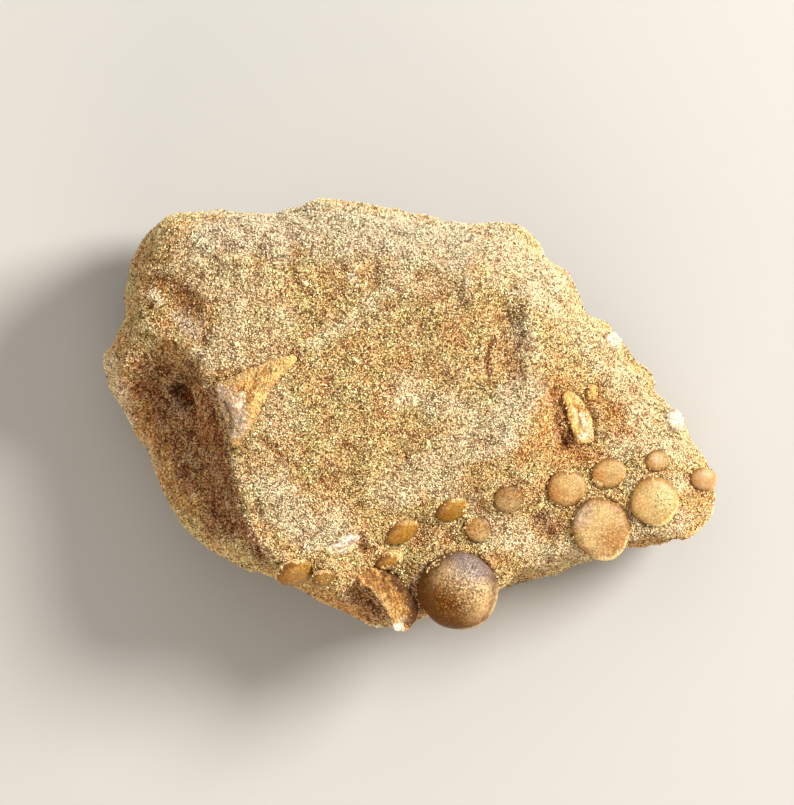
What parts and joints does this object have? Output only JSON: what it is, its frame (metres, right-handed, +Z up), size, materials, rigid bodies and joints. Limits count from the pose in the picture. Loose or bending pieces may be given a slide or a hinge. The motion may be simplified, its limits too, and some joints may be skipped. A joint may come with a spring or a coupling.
{
  "type": "fossil fish mouth plate",
  "caption": "Lump of sandy phosphate rock with the round crushing teeth of a fossil fish, scraps of jaw bone and shell set in its upper face.",
  "frame": {"origin": "centre of the object's box, on the resting face", "axes": "+Z up, out of the face that carries the teeth; +X along the length, towards the end with the cluster of teeth; +Y across, away from the edge with the large dark tooth"},
  "size_m": [0.105, 0.0734, 0.042],
  "materials": {
    "rock": "coarse loose-grained, matt, with bright grains",
    "enamel_dark": "polished enamel, brown to grey, finely speckled",
    "enamel_tan": "satin enamel with fine pits and a pale rim",
    "enamel_amber": "glossy amber enamel",
    "bone": "fibrous fossil bone, satin",
    "shell": "chalky, finely striped"
  },
  "bodies": {
    "root": {"rock_matrix": "rock", "tooth_large_dark": "enamel_dark", "tooth_large_tan": "enamel_tan", "tooth_large_pitted": "enamel_tan", "tooth_ledge_left": "enamel_tan", "tooth_ledge_upper": "enamel_tan", "tooth_ledge_small": "enamel_tan", "tooth_right_tip": "enamel_tan", "tooth_slope_right": "enamel_amber", "tooth_slope_middle": "enamel_amber", "tooth_slope_lower": "enamel_tan", "tooth_slope_left": "enamel_amber", "tooth_buried_middle": "enamel_amber", "tooth_buried_left": "enamel_amber", "tooth_buried_small": "enamel_amber", "jaw_bone_wedge": "bone", "bone_blade": "bone", "bone_rib": "bone", "bone_lump": "bone", "shell_fragment": "shell", "shell_chip_upper": "shell", "shell_chip_lower": "shell"}
  },
  "joints": []
}
